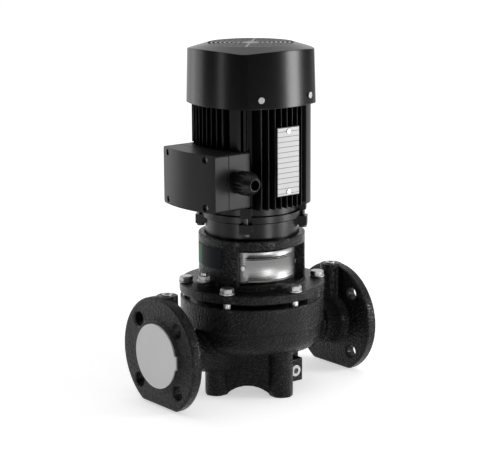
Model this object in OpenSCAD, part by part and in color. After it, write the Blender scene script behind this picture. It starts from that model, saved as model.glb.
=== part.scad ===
// In-line circulation pump: a flanged volute casing, a motor stool and a fan-cooled motor on one shaft.
// Millimetres. The origin is on the floor under the shaft; +X is the discharge side, +Z is up.

/* [Pipe flanges] */
// Face-to-face length between the two flange faces
face_to_face = 340; // [330:1:360]
// Height of the pipe axis above the feet
axis_h = 75; // [75:1:90]
// Outside diameter of each flange
flange_d = 165; // [156:1:180]
// Thickness of each flange with its raised face
flange_t = 18; // [15:1:24]
// Bolt circle of each flange
flange_pcd = 125; // [122:1:130]
// Diameter of each flange bolt hole
flange_hole_d = 19; // [14:1:20]
// Diameter of the raised sealing face
raised_d = 102; // [96:1:104]
// Height of the raised sealing face
raised_t = 2; // [1:0.5:3]
// Bore of the pipe connections
port_d = 50; // [46:1:52]
// Outside diameter of the necks behind the flanges
neck_d = 70; // [66:1:74]
// Height of the flat under each flange above the floor
flange_flat_h = 3; // [2:0.5:6]
// Radius of the gauge boss on top of each neck
gauge_boss_r = 15; // [13:0.5:17]

/* [Casing] */
// Width of the casing collar outside the volute channel
collar_rim = 15; // [14:0.5:20]
// Height of the casing collar
collar_h = 37; // [34:1:42]
// Height of the collar top above the pipe axis
collar_top_h = 63; // [62:1:70]
// Width of the collar round the bore that centres the stool
collar_wall = 23; // [21:0.5:25]
// Distance of the middle of the volute channel from the impeller's rim
volute_gap = 6; // [5:0.5:8]
// Radius of the volute channel at its outlet
volute_end_r = 18; // [17:0.5:19]
// Radius of the volute channel at its tongue
volute_start_r = 8; // [7:0.5:10]
// Height of the volute channel above the pipe axis
volute_rise = 17; // [16:0.5:19]
// Wall thickness round the waterways
casing_wall = 7; // [6:0.5:8]
// Radius of the chamber under the impeller eye
suction_r = 34; // [32:0.5:36]
// Radius of each foot
foot_r = 17; // [14:0.5:19]
// Distance of each foot from the shaft axis
foot_ring_r = 65; // [62:0.5:68]
// Radius of the tapped hole in each foot
foot_hole_r = 5; // [4:0.5:6]
// Depth of the tapped hole in each foot
foot_hole_depth = 20; // [12:1:30]
// Height of the arch between the feet
arch_h = 13; // [8:1:18]
// Thickness of the webs between the feet
web_t = 12; // [8:1:16]

/* [Motor stool] */
// Overhang of the stool base plate past the casing collar
plate_lip = 1; // [0:0.5:2]
// Thickness of the stool base plate
plate_t = 13; // [11:1:15]
// Gap between the casing collar and the base plate
plate_gap = 7; // [5:0.5:8]
// Number of bolts that hold the stool down
head_bolts_n = 6; // [4:1:8]
// Distance of the stool bolts from the edge of the collar
bolt_edge = 8; // [7.5:0.5:9]
// Outside radius of the stool lantern
stool_r = 76; // [75:0.5:78]
// Inside radius of the stool lantern
stool_bore_r = 62; // [61.5:0.5:63]
// Height of the stool lantern above its base plate
stool_h = 71; // [68:1:76]
// Height of the top ring of the stool
stool_ring_h = 14; // [11:1:16]
// Angle where the front window starts, from the discharge side
window_from = -144; // [-148:1:-138]
// Angle that each window spans
window_span = 94; // [84:1:98]
// Height of each window sill above the base plate
sill_h = 6; // [4:1:9]
// Thickness of the guard sheets
guard_t = 1.2; // [1:0.1:1.5]

/* [Shaft line] */
// Radius of the pump shaft
pump_shaft_r = 8; // [7.5:0.5:9]
// Radius of the motor shaft in the coupling
motor_shaft_r = 7; // [6.5:0.5:8]
// Outside radius of the impeller
impeller_r = 64; // [60:0.5:65]
// Number of impeller vanes
vanes_n = 6; // [5:1:8]
// Thickness of the impeller shrouds
shroud_t = 2.5; // [2:0.5:3]
// Distance between the impeller shrouds
vane_h = 12; // [10:0.5:13]
// Outside radius of the shaft coupling
coupling_r = 22; // [20:0.5:24]
// Height of the shaft coupling
coupling_h = 44; // [40:1:48]

/* [Motor] */
// Radius of the round drive end shield
shield_r = 65.8; // [65:0.2:67]
// Distance of the finned faces from the shaft axis
fin_face_r = 79; // [76:0.5:80]
// Distance of the finned corners from the shaft axis
fin_corner_r = 84; // [82:0.5:86]
// Radius of the round shell inside the fins
frame_shell_r = 66; // [64:0.5:68]
// Bore of the motor frame
frame_bore_r = 60; // [58:0.5:61]
// Length of the motor frame
frame_len = 154; // [150:1:164]
// Distance between neighbouring fins
fin_pitch = 9.8; // [9:0.2:11]
// Thickness of each fin
fin_t = 2.4; // [2:0.2:4]
// Length of the stator stack
stator_len = 80; // [60:1:84]
// Bore of the stator stack
stator_bore_r = 34; // [32:0.5:36]
// Air gap between the rotor and the stator
air_gap = 0.5; // [0.3:0.1:0.8]
// Number of stator teeth
slots_n = 24; // [12:12:36]

/* [Fan cover] */
// Distance of the cover faces from the shaft axis, at the rim
cover_face_r = 82.5; // [82:0.5:86]
// Distance of the cover corners from the shaft axis, at the rim
cover_corner_r = 91; // [90:0.5:94]
// Height of the straight part of the fan cover
cover_h = 75; // [72:1:84]
// Rise of the cone on top of the fan cover
cover_cone_h = 8; // [6:0.5:12]
// Wall thickness of the fan cover
cover_t = 1.5; // [1:0.1:2]
// Radius of the grille on top of the fan cover
grille_r = 62; // [58:1:64]
// Number of slot rings in the grille
grille_rings = 8; // [6:1:9]
// Outside radius of the fan
fan_r = 66; // [60:1:68]
// Number of fan blades
fan_blades_n = 8; // [5:1:12]

/* [Terminal box] */
// Width of the terminal box across its front
box_w = 118; // [110:1:124]
// Height of the terminal box
box_h = 80; // [74:1:90]
// Distance of the seam between box and lid from the shaft axis
box_seam_x = 86; // [84:1:92]
// Distance of the middle of the lid from the shaft axis
lid_x = 120; // [117:1:126]
// Wall thickness of the terminal box
box_wall = 4; // [3:0.5:5]
// Bore that the cable gland leaves for a cable
gland_bore_r = 6.5; // [5:0.5:8]

/* [Name plate] */
// Width of the name plate
name_w = 38; // [30:1:44]
// Height of the name plate
name_h = 94; // [70:1:104]

/* [Hidden] */
$fn = 96;
eps = 0.01;
// Clearances
fit_gap = 0.3;
run_gap = 0.05;
// Radii of the casing and the stool, from the impeller outwards
volute_r = impeller_r + volute_gap;
collar_r = volute_r + volute_end_r + collar_rim;
spigot_r = collar_r - collar_wall;
plate_r = collar_r + plate_lip;
head_pcd = 2 * (collar_r - bolt_edge);
// Levels above the floor, from the casing up to the cover
volute_z = axis_h + volute_rise;
collar_top = axis_h + collar_top_h;
collar_bottom = collar_top - collar_h;
channel_top = volute_z + volute_end_r + 2;
plate_bottom = collar_top + plate_gap;
plate_top = plate_bottom + plate_t;
stool_top = plate_top + stool_h;
ring_bottom = stool_top - stool_ring_h;
sill_top = plate_top + sill_h;
recess_h = 3;
shield_bottom = stool_top - recess_h;
shield_rim_z = shield_bottom + 25;
frame_bottom = shield_bottom + 36;
frame_top = frame_bottom + frame_len;
fins_bottom = frame_bottom + 11;
fins_len = frame_top - fins_bottom;
cover_bottom = frame_top - 2;
cover_edge_z = cover_bottom + cover_h;
cover_top = cover_edge_z + cover_cone_h;
// Feet, webs and chamber under the volute
feet_top = volute_z - 22;
bowl_r = collar_r - 4;
arch_cut_r = 45;
suction_floor = 21;
suction_core_r = suction_r + casing_wall;
eye_r = 24;
ring_seat_r = 30;
ring_seat_bottom = volute_z - 22;
chamber_bottom = volute_z - 12;
// Pipe connections
flange_inner = face_to_face / 2 - flange_t;
s_end_x = 2 * volute_r * sin(60);
neck_inner = s_end_x - 5;
split_x = neck_inner + 7.5;
neck_flare = 5;
neck_flare_len = 12;
flange_bevel = 1.5;
dip_end_x = 36;
dip_drop = 27;
dip_r = 20;
s_tilt = atan(volute_rise / s_end_x);
s_joint = 1;
s_band = 4;
gauge_boss_x = face_to_face / 2 - 20;
gauge_top = axis_h + 84;
gauge_hole_r = 6.5;
port_cover_r = 45.5;
port_cover_t = 2.5;
port_collar_h = 8;
port_tab = [6, 19];
drain_x = 28;
drain_y = -62;
drain_z = 30;
drain_r = 5;
drain_shank = 12;
drain_boss = [30, 50, 34];
drain_hole_len = 46;
gauge_shank = 14;
plug_socket_h = 4;
// Stool bolts, windows and guards
bolt_r = 5;
bolt_af = 17;
head_h = 7;
washer_t = 1.6;
bolt_start = 30;
guard_r = stool_bore_r - fit_gap - guard_t;
guard_bottom = plate_top + 1;
guard_top = ring_bottom - 5;
guard_overlap = 7;
jamb_r = guard_r - fit_gap;
jamb_t = 5;
jamb_span = 7;
guard_screw_r = 1.9;
guard_screw_z = plate_top + 30;
register_r = 48;
bolt_depth = 22;
vent_x = collar_r - 17;
vent_r = 6;
vent_boss_r = 15;
vent_boss_h = 10;
vent_seat_z = plate_top + vent_boss_h;
vent_shank = 11;
motor_screw_r = 3;
motor_screw_ring_r = 55.5;
motor_screw_spread = 20;
guard_edge = 8;
guard_bead_r = 1;
label_from = 150;
label_span = 48;
label_band = 15;
label_z = plate_top + 29;
label_h = 29;
label_t = 0.6;
// Shaft line
seal_r = 18;
seal_chamber_top = plate_bottom - 10;
seat_r = 14;
seat_h = 5;
face_h = 7;
sleeve_r = pump_shaft_r + 1.6;
hub_bottom = volute_z - 9;
impeller_bottom = volute_z - shroud_t - vane_h / 2;
impeller_top = impeller_bottom + 2 * shroud_t + vane_h;
hub_r = 13;
hub_top = impeller_top + 6;
vane_bend_r = 44;
vane_t = 3;
vane_lean = 62;
vane_from = 190;
vane_span = 120;
nut_h = 8;
nut_af = 22;
shaft_bottom = impeller_bottom - nut_h - 3;
coupling_bottom = plate_top + 12;
coupling_mid = coupling_bottom + coupling_h / 2;
coupling_screw_r = 2.5;
coupling_screw_x = 15;
coupling_screw_dz = 13;
coupling_seat_y = 9.5;
coupling_split = 1;
shaft_gap = 2;
bearing_r = 17.5;
bearing_bore_r = 7.5;
bearing_h = 11;
ball_r = 3;
ball_ring_r = (bearing_r + bearing_bore_r) / 2;
balls_n = 7;
ball_step = 360 / balls_n;
ball_half = asin(ball_r / ball_ring_r) + 0.6;
cage_t = 1.8;
de_bearing_z = shield_bottom + 10;
nde_bearing_z = frame_top - 3;
rotor_r = stator_bore_r - air_gap;
stator_bottom = frame_bottom + (frame_len - stator_len) / 2 - 4;
rotor_shaft_r = 9.5;
end_ring_h = 9;
slot_w = 4.2;
slot_r = stator_bore_r + 2;
slot_out_r = frame_bore_r - 12;
coil_end_h = 14;
// Motor shields, fins and corners
shield_rim_r = shield_r + 4.2;
register_h = 9;
lug_bottom = shield_bottom + 14;
lug_h = 13;
lug_w = 18;
lug_out = 79.5;
tie_r = 3;
tie_ring_r = 73;
tie_depth = 12;
column_w = 15;
corner_rib_t = 3;
strip_w = 16;
strip_from_corner = 9;
fins_from = -4;
fins_to = 3;
fin_tip_t = fin_t - 1;
fin_root_t = fin_t + 1;
nde_rim_h = 18;
// Fan cover
fan_bottom = frame_top + 16;
fan_h = 40;
fan_hub_r = 14;
fan_bore_r = 6;
fan_plate_t = 2.5;
fan_blade_t = 2.4;
cover_draft = 2.1;
cover_bow = bow_radius(cover_face_r, cover_corner_r);
cover_screw_r = 2;
cover_head_r = 4.4;
cover_screw_x = 43;
cover_screw_z = cover_bottom + 13;
grille_hub_r = 13;
grille_slot = 3.4;
grille_pitch = (grille_r - 2 - grille_slot - grille_hub_r) / (grille_rings - 1);
grille_spoke = 3;
// Terminal box
box_bottom = fins_bottom + 3;
box_mid_z = box_bottom + box_h / 2;
box_back_x = 50;
box_cut_w = box_w + 16;
lid_bow_r = 175;
lid_screw_y = box_w / 2 - 16.5;
lid_screw_dz = box_h / 2 - 7;
gasket_t = 1.2;
pocket_x = 71;
pocket_h = 36;
lid_screw_r = 2;
lid_screw_seat = lid_x - 12;
lid_boss_r = 6.5;
block_t = 9;
block_w = 48;
block_h = 28;
stud_r = 2;
gland_x = 69;
gland_r = 12.5;
gland_nut_r = 16.5;
gland_neck_r = 11.5;
gland_wall = 2.2;
gland_hex_h = 7;
gland_neck_len = 16;
gland_nut_y = -box_w / 2 - gland_hex_h - 0.2;
gland_nut_h = 17;
gland_dome_h = 11;
gland_dome_r = [gland_nut_r, gland_nut_r - 1.2, gland_nut_r - 4, gland_bore_r + 2];
gland_ribs_n = 12;
// Name plate
name_z = fins_bottom + 66;
name_x = 1.5;
name_t = 0.8;
rivet_inset = 5;
rivet_r = 2;

// A round bar along X that starts at x
module bar_x(x, len, r) {
    translate([x, 0, 0]) rotate([0, 90, 0]) cylinder(r = r, h = len);
}

// A round bar between two points of the XZ plane
module bar_xz(x1, z1, x2, z2, r) {
    run = norm([x2 - x1, z2 - z1]);
    translate([x1, 0, z1]) rotate([0, atan2(x2 - x1, z2 - z1), 0]) cylinder(r = r, h = run);
}

// A hexagon across flats af
module hexagon(af, h) {
    cylinder(d = af / cos(30), h = h, $fn = 6);
}

// Part of a ring between two angles
module ring_part(r_in, r_out, z, h, from, span) {
    rotate([0, 0, from]) rotate_extrude(angle = span) translate([r_in, z]) square([r_out - r_in, h]);
}

// Part of a round channel that bends about the Z axis
module bend(r_mid, r_tube, from, span) {
    rotate([0, 0, from]) rotate_extrude(angle = span) translate([r_mid, 0]) circle(r = r_tube);
}

// The S-bend from the volute to the discharge neck, as a round bar with a low band over its middle
module s_bend(r_tube) {
    translate([0, 0, volute_z]) rotate([0, s_tilt, 0]) {
        bend(volute_r, r_tube, -94, 64 - s_joint);
        translate([s_end_x, -volute_r, 0]) bend(volute_r, r_tube, 90, 60 - s_joint);
        rotate([0, 0, -30]) translate([volute_r, s_band / 2, 0]) rotate([90, 0, 0])
            cylinder(r = r_tube + 0.5, h = s_band);
    }
}

// One flange with its raised face, on the +X side
module flange() {
    disc_t = flange_t - raised_t;
    difference() {
        translate([0, 0, axis_h]) union() {
            rotate([0, 90, 0]) translate([0, 0, flange_inner]) rotate_extrude() polygon([
                [0, 0], [flange_d / 2 - flange_bevel, 0], [flange_d / 2, flange_bevel],
                [flange_d / 2, disc_t - flange_bevel], [flange_d / 2 - flange_bevel, disc_t], [0, disc_t]]);
            bar_x(flange_inner, flange_t, raised_d / 2);
        }
        translate([0, 0, axis_h]) for (a = [45 : 90 : 315])
            rotate([a, 0, 0]) translate([0, 0, flange_pcd / 2])
                bar_x(flange_inner - 1, flange_t + 2, flange_hole_d / 2);
        translate([flange_inner - 1, -flange_d, flange_flat_h - flange_d])
            cube([flange_t + 2, 2 * flange_d, flange_d]);
    }
}

// The neck, its flare and the gauge boss behind one flange, on the +X side
module neck() {
    translate([0, 0, axis_h]) bar_x(split_x, flange_inner - split_x + 4, neck_d / 2);
    translate([flange_inner - neck_flare_len, 0, axis_h]) rotate([0, 90, 0])
        cylinder(r1 = neck_d / 2 - 1, r2 = neck_d / 2 + neck_flare, h = neck_flare_len + 1);
    translate([gauge_boss_x, 0, axis_h]) cylinder(r = gauge_boss_r, h = gauge_top - axis_h);
}

// One flange with its neck, open along the pipe axis, on the +X side
module flange_end() {
    difference() {
        union() {
            flange();
            neck();
        }
        translate([0, 0, axis_h]) bar_x(split_x - 1, face_to_face / 2 - split_x + 2, port_d / 2);
        translate([gauge_boss_x, 0, axis_h]) cylinder(r = gauge_hole_r + run_gap, h = gauge_top);
    }
}

module inlet_flange() {
    color([0.07, 0.07, 0.075]) rotate([0, 0, 180]) flange_end();
}

module outlet_flange() {
    color([0.07, 0.07, 0.075]) flange_end();
}

// The outside of the casing bowl, turned about the shaft axis
module bowl() {
    rotate_extrude() polygon([
        [0, suction_floor - casing_wall], [suction_core_r - 8, suction_floor - casing_wall],
        [suction_core_r, suction_floor + 4], [suction_core_r + 2, volute_z - 34],
        for (a = [-90 : 10 : 0]) [bowl_r - 24 + 24 * cos(a), volute_z - 4 + 22 * sin(a)],
        [bowl_r, collar_bottom + 3], [0, collar_bottom + 3]]);
}

// One foot and half of the web to the next foot
module foot() {
    translate([foot_ring_r, 0, 0]) cylinder(r = foot_r, h = feet_top);
    rotate([0, 0, 45]) translate([foot_ring_r * cos(45) - web_t / 2, -foot_ring_r * sin(45), 0])
        difference() {
            cube([web_t, 2 * foot_ring_r * sin(45), feet_top]);
            translate([-1, foot_ring_r * sin(45), arch_h - arch_cut_r]) rotate([0, 90, 0])
                cylinder(r = arch_cut_r, h = web_t + 2);
        }
}

// All waterways of the casing
module waterways() {
    for (side = [0, 180]) rotate([0, 0, side]) translate([0, 0, axis_h])
        bar_x(neck_inner + 6, split_x - neck_inner, port_d / 2);
    // Suction: the pipe dips under the volute into the chamber below the eye
    bar_xz(-neck_inner - 9, axis_h - 1, -dip_end_x + 16, axis_h - dip_drop, dip_r);
    translate([0, 0, suction_floor]) cylinder(r = suction_r, h = ring_seat_bottom - suction_floor - 8);
    translate([0, 0, ring_seat_bottom - 8 - eps]) cylinder(r1 = suction_r, r2 = eye_r, h = 8 + 2 * eps);
    translate([0, 0, ring_seat_bottom]) cylinder(r = ring_seat_r, h = collar_top - ring_seat_bottom);
    // Impeller chamber and the volute channel that grows round it
    translate([0, 0, chamber_bottom]) cylinder(r = impeller_r + 2, h = collar_top - chamber_bottom);
    translate([0, 0, volute_z]) for (i = [0 : 6])
        bend(volute_r, volute_start_r + (volute_end_r - volute_start_r) * i / 6, -5 + i * 40, i == 6 ? 35 : 42);
    s_bend(volute_end_r + 1);
    // Register of the stool
    translate([0, 0, channel_top]) cylinder(r = spigot_r, h = collar_top - channel_top + 1);
}

module pump_casing() {
    color([0.07, 0.07, 0.075]) difference() {
        union() {
            for (side = [0, 180]) rotate([0, 0, side]) translate([0, 0, axis_h])
                bar_x(neck_inner, split_x - neck_inner + 4, neck_d / 2);
            bowl();
            translate([0, 0, collar_bottom]) cylinder(r = collar_r, h = collar_h);
            s_bend(volute_end_r + casing_wall + 3);
            bar_xz(-neck_inner - 2, axis_h - 1, -dip_end_x, axis_h - dip_drop, dip_r + casing_wall);
            for (a = [0 : 90 : 270]) rotate([0, 0, a]) foot();
            // Drain boss
            translate([drain_x - drain_boss[0] / 2, drain_y, drain_z - drain_boss[2] / 2]) cube(drain_boss);
        }
        waterways();
        for (a = [0 : 90 : 270]) rotate([0, 0, a]) translate([foot_ring_r, 0, -1])
            cylinder(r = foot_hole_r, h = foot_hole_depth + 1);
        for (i = [0 : head_bolts_n - 1]) rotate([0, 0, bolt_start + i * 360 / head_bolts_n])
            translate([head_pcd / 2, 0, collar_top - bolt_depth])
                cylinder(r = bolt_r + run_gap, h = bolt_depth + 1);
        // The ends where the flanges join
        for (side = [0, 180]) rotate([0, 0, side]) translate([split_x, -neck_d, axis_h - neck_d])
            cube([neck_d, 2 * neck_d, 2 * neck_d]);
        translate([drain_x, drain_y - 1, drain_z]) rotate([-90, 0, 0])
            cylinder(r = drain_r + run_gap, h = drain_hole_len + 1);
    }
}

module wear_ring() {
    color("goldenrod") translate([0, 0, ring_seat_bottom]) difference() {
        cylinder(r = ring_seat_r, h = 9);
        translate([0, 0, -1]) cylinder(r = eye_r + 3.3, h = 11);
    }
}

module casing_o_ring() {
    color([0.05, 0.05, 0.05]) rotate_extrude() translate([spigot_r - 2, channel_top + 12])
        circle(r = 1.9, $fn = 24);
}

// A plug with a round head and a hexagon socket, standing on z = 0 with its shank below
module plug(shank_r, shank_len, head_r, head_h, socket_af) {
    difference() {
        union() {
            translate([0, 0, -shank_len]) cylinder(r = shank_r, h = shank_len + 1);
            cylinder(r = head_r, h = head_h);
        }
        translate([0, 0, head_h - plug_socket_h]) hexagon(socket_af, plug_socket_h + 1);
    }
}

module drain_plug() {
    color("silver") translate([drain_x, drain_y, drain_z])
        rotate([90, 0, 0]) plug(drain_r, drain_shank, drain_r + 3.2, 3, 8);
}

module gauge_plugs() {
    color("silver") for (side = [-1, 1]) translate([side * gauge_boss_x, 0, gauge_top])
        plug(gauge_hole_r, gauge_shank, gauge_hole_r + 1, 1.2, 8);
}

// A cover plate with a short collar in the bore and a pull tab, on the +X side
module port_cover() {
    translate([0, 0, axis_h]) difference() {
        union() {
            bar_x(face_to_face / 2, port_cover_t, port_cover_r);
            bar_x(face_to_face / 2 - port_collar_h, port_collar_h + 1, port_d / 2 - fit_gap);
        }
        bar_x(face_to_face / 2 - port_collar_h - 1, port_collar_h + 1, port_d / 2 - 2);
    }
}

// The pull tab of a cover plate that starts at x
module port_tab(x) {
    translate([x, -port_cover_r - port_tab[0] / 2, axis_h - port_tab[1] / 2])
        cube([port_cover_t, port_tab[0], port_tab[1]]);
}

module inlet_cover() {
    color([0.88, 0.87, 0.88]) {
        rotate([0, 0, 180]) port_cover();
        port_tab(-face_to_face / 2 - port_cover_t);
    }
}

module outlet_cover() {
    color([0.88, 0.87, 0.88]) {
        port_cover();
        port_tab(face_to_face / 2);
    }
}

// The stool: base plate with its spigot, lantern walls, window jambs and top ring, cast in one
module motor_stool() {
    color([0.08, 0.08, 0.085]) difference() {
        union() {
            translate([0, 0, plate_bottom]) cylinder(r = plate_r, h = plate_t);
            translate([0, 0, channel_top + 0.5])
                cylinder(r = spigot_r - run_gap, h = plate_gap + collar_top - channel_top);
            difference() {
                translate([0, 0, plate_top - 1]) cylinder(r = stool_r, h = stool_h + 1);
                translate([0, 0, plate_top]) cylinder(r = stool_bore_r, h = ring_bottom - plate_top);
                for (side = [0, 180])
                    ring_part(stool_bore_r - 2, stool_r + 2, sill_top, ring_bottom - sill_top,
                        window_from + side, window_span);
            }
            for (side = [0, 180]) for (edge = [-1, 1])
                rotate([0, 0, window_from + side + window_span / 2 + edge * (window_span / 2)])
                    ring_part(jamb_r - jamb_t, jamb_r, plate_top - 1, ring_bottom - plate_top + 2,
                        edge > 0 ? -jamb_span : -guard_overlap - 2, jamb_span + guard_overlap + 2);
            translate([-vent_x, 0, plate_top - 2]) cylinder(r = vent_boss_r, h = vent_boss_h + 2);
            translate([-vent_x, -vent_boss_r, plate_top - 2])
                cube([vent_x - stool_bore_r - 4, 2 * vent_boss_r, vent_boss_h + 2]);
        }
        // Bores on the shaft axis
        translate([0, 0, channel_top]) cylinder(r = seal_r + 2, h = seal_chamber_top - channel_top);
        translate([0, 0, seal_chamber_top - 1]) cylinder(r = seat_r + run_gap, h = seat_h + 1);
        translate([0, 0, seal_chamber_top]) cylinder(r = pump_shaft_r + 1, h = stool_h + 50);
        translate([0, 0, ring_bottom - 1]) cylinder(r = register_r + run_gap, h = stool_ring_h + 2);
        translate([0, 0, shield_bottom]) cylinder(r = shield_r + 1.5, h = recess_h + 1);
        // Groove for the sealing ring
        rotate_extrude() translate([spigot_r - 4, channel_top + 9.9]) square([6, 4.2]);
        for (i = [0 : head_bolts_n - 1]) rotate([0, 0, bolt_start + i * 360 / head_bolts_n])
            translate([head_pcd / 2, 0, plate_bottom - 1]) cylinder(r = bolt_r + 0.5, h = plate_t + 2);
        at_motor_screws() translate([0, 0, ring_bottom - 1])
            cylinder(r = motor_screw_r + 0.4, h = stool_ring_h + 2);
        for (side = [0, 180]) for (edge = [-1, 1]) at_guard_screw(side, edge)
            cylinder(r = guard_screw_r + run_gap, h = guard_r);
        translate([-vent_x, 0, vent_seat_z])
            cylinder(r = vent_r + run_gap, h = 2 * (vent_shank + 4), center = true);
    }
}

// Children stand along the axis of one guard screw, pointing outwards from the shaft
module at_guard_screw(side, edge) {
    rotate([0, 0, window_from + side + window_span / 2 + edge * (window_span - jamb_span) / 2])
        translate([0, 0, guard_screw_z]) rotate([0, 90, 0]) children();
}

// Children stand at the four screws that hold the motor on the stool
module at_motor_screws() {
    wall_mid = window_from + window_span + (180 - window_span) / 2;
    for (side = [0, 180]) for (a = [-motor_screw_spread, motor_screw_spread])
        rotate([0, 0, wall_mid + side + a])
        translate([motor_screw_ring_r, 0, 0]) children();
}

module head_bolts() {
    color("silver") for (i = [0 : head_bolts_n - 1]) rotate([0, 0, bolt_start + i * 360 / head_bolts_n])
        translate([head_pcd / 2, 0, 0]) {
            translate([0, 0, collar_top - bolt_depth + 2])
                cylinder(r = bolt_r, h = bolt_depth + plate_gap + plate_t - 1);
            translate([0, 0, plate_top]) cylinder(r = bolt_af / 2 + 1, h = washer_t);
            translate([0, 0, plate_top + washer_t - eps]) hexagon(bolt_af, head_h);
        }
}

// One guard sheet with its two rolled beads, over the front window
module guard() {
    difference() {
        union() {
            ring_part(guard_r, guard_r + guard_t, guard_bottom, guard_top - guard_bottom,
                window_from - guard_overlap, window_span + 2 * guard_overlap);
            for (z = [guard_bottom + guard_edge, guard_top - guard_edge - 3]) translate([0, 0, z])
                bend(guard_r + guard_t - 0.1, guard_bead_r,
                    window_from + jamb_span + 3, window_span - 2 * jamb_span - 6);
        }
        for (edge = [-1, 1]) at_guard_screw(0, edge) cylinder(r = guard_screw_r + 0.3, h = stool_r);
    }
}

module front_guard() {
    color("gainsboro") guard();
}

module rear_guard() {
    color("gainsboro") rotate([0, 0, 180]) guard();
}

module guard_screws() {
    color("silver") for (side = [0, 180]) for (edge = [-1, 1]) at_guard_screw(side, edge) {
        translate([0, 0, jamb_r - 4]) cylinder(r = guard_screw_r, h = 7);
        translate([0, 0, guard_r + guard_t + 0.1]) cylinder(r = 3.4, h = 2);
    }
}

module vent_plug() {
    color("silver") translate([-vent_x, 0, vent_seat_z + 0.1]) {
        translate([0, 0, -vent_shank]) cylinder(r = vent_r, h = vent_shank + 1);
        translate([0, 0, 2]) hexagon(15, 6);
        cylinder(r = 9.5, h = 2.01);
        translate([0, 0, 8 - eps]) cylinder(r = 4, h = 4);
    }
}

module label_band() {
    color("seagreen") ring_part(stool_r + eps, stool_r + label_t, label_z, label_h, label_from, label_band);
}

module label_panel() {
    color([0.13, 0.14, 0.16]) ring_part(stool_r + eps, stool_r + label_t, label_z, label_h,
        label_from + label_band, label_span - label_band);
}

// One backward-curved vane, a part of a ring that leaves the hub and reaches the rim
module vane() {
    translate([vane_bend_r * cos(vane_lean), vane_bend_r * sin(vane_lean), 0])
        ring_part(vane_bend_r - vane_t / 2, vane_bend_r + vane_t / 2,
            impeller_bottom + 1, 2 * shroud_t + vane_h - 2, vane_from, vane_span);
}

module impeller() {
    color([0.6, 0.6, 0.58]) difference() {
        union() {
            translate([0, 0, impeller_bottom]) cylinder(r = impeller_r, h = shroud_t);
            translate([0, 0, impeller_top - shroud_t]) cylinder(r = impeller_r, h = shroud_t);
            translate([0, 0, ring_seat_bottom + 2])
                cylinder(r = eye_r + 3, h = impeller_bottom - ring_seat_bottom - 1);
            intersection() {
                for (i = [0 : vanes_n - 1]) rotate([0, 0, i * 360 / vanes_n]) vane();
                cylinder(r = impeller_r - 0.5, h = impeller_top);
            }
        }
        translate([0, 0, ring_seat_bottom - 1])
            cylinder(r = eye_r, h = impeller_top - shroud_t - ring_seat_bottom + 1);
        translate([0, 0, impeller_top - shroud_t - 1]) cylinder(r = hub_r - 1, h = 10);
    }
    color([0.6, 0.6, 0.58]) translate([0, 0, hub_bottom]) difference() {
        union() {
            cylinder(r = hub_r, h = hub_top - hub_bottom);
            translate([0, 0, impeller_top - shroud_t - hub_bottom]) cylinder(r = eye_r + 1, h = shroud_t);
        }
        translate([0, 0, -1]) cylinder(r = pump_shaft_r + run_gap, h = hub_top - hub_bottom + 2);
    }
}

module impeller_nut() {
    color("silver") translate([0, 0, hub_bottom - nut_h]) difference() {
        hexagon(nut_af, nut_h);
        translate([0, 0, -1]) cylinder(r = pump_shaft_r + run_gap, h = nut_h + 2);
    }
}

module pump_shaft() {
    color("silver") translate([0, 0, shaft_bottom]) {
        cylinder(r1 = pump_shaft_r - 1, r2 = pump_shaft_r, h = 1);
        translate([0, 0, 1 - eps])
            cylinder(r = pump_shaft_r, h = coupling_mid - shaft_gap / 2 - shaft_bottom - 1);
    }
}

// Mechanical seal: a fixed seat, a turning face, a rubber sleeve and a spring
module seal_seat() {
    color("ivory") translate([0, 0, seal_chamber_top]) difference() {
        cylinder(r = seat_r, h = seat_h - 1);
        translate([0, 0, -1]) cylinder(r = pump_shaft_r + 0.6, h = seat_h + 1);
    }
}

module seal_face() {
    color([0.15, 0.15, 0.15]) translate([0, 0, seal_chamber_top - face_h]) difference() {
        cylinder(r = seal_r - 5, h = face_h);
        translate([0, 0, -1]) cylinder(r = sleeve_r + run_gap, h = face_h + 2);
    }
}

module seal_sleeve() {
    color([0.05, 0.05, 0.05]) translate([0, 0, hub_top]) difference() {
        union() {
            cylinder(r = sleeve_r, h = seal_chamber_top - hub_top - 1);
            cylinder(r = seal_r - 4, h = 2);
        }
        translate([0, 0, -1]) cylinder(r = pump_shaft_r + run_gap, h = seal_chamber_top - hub_top + 1);
    }
}

// One coil of round wire about the Z axis
module coil(r_mid, wire_r, h, turns) {
    n = turns * 20;
    sides = 8;
    points = [for (i = [0 : n]) for (k = [0 : sides - 1])
        let (a = i * 360 / 20, b = k * 360 / sides, r = r_mid + wire_r * cos(b))
        [r * cos(a), r * sin(a), wire_r + (h - 2 * wire_r) * i / n + wire_r * sin(b)]];
    walls = [for (i = [0 : n - 1]) for (k = [0 : sides - 1])
        let (k2 = (k + 1) % sides) [i * sides + k, (i + 1) * sides + k, (i + 1) * sides + k2, i * sides + k2]];
    start = [for (k = [0 : sides - 1]) k];
    finish = [for (k = [sides - 1 : -1 : 0]) n * sides + k];
    polyhedron(points, concat(walls, [start, finish]), convexity = 10);
}

module seal_spring() {
    spring_wire_r = 0.8;
    color("silver") translate([0, 0, hub_top + 2.1])
        coil(sleeve_r + spring_wire_r + 0.9, spring_wire_r, seal_chamber_top - face_h - hub_top - 2.3, 4);
}

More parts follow.
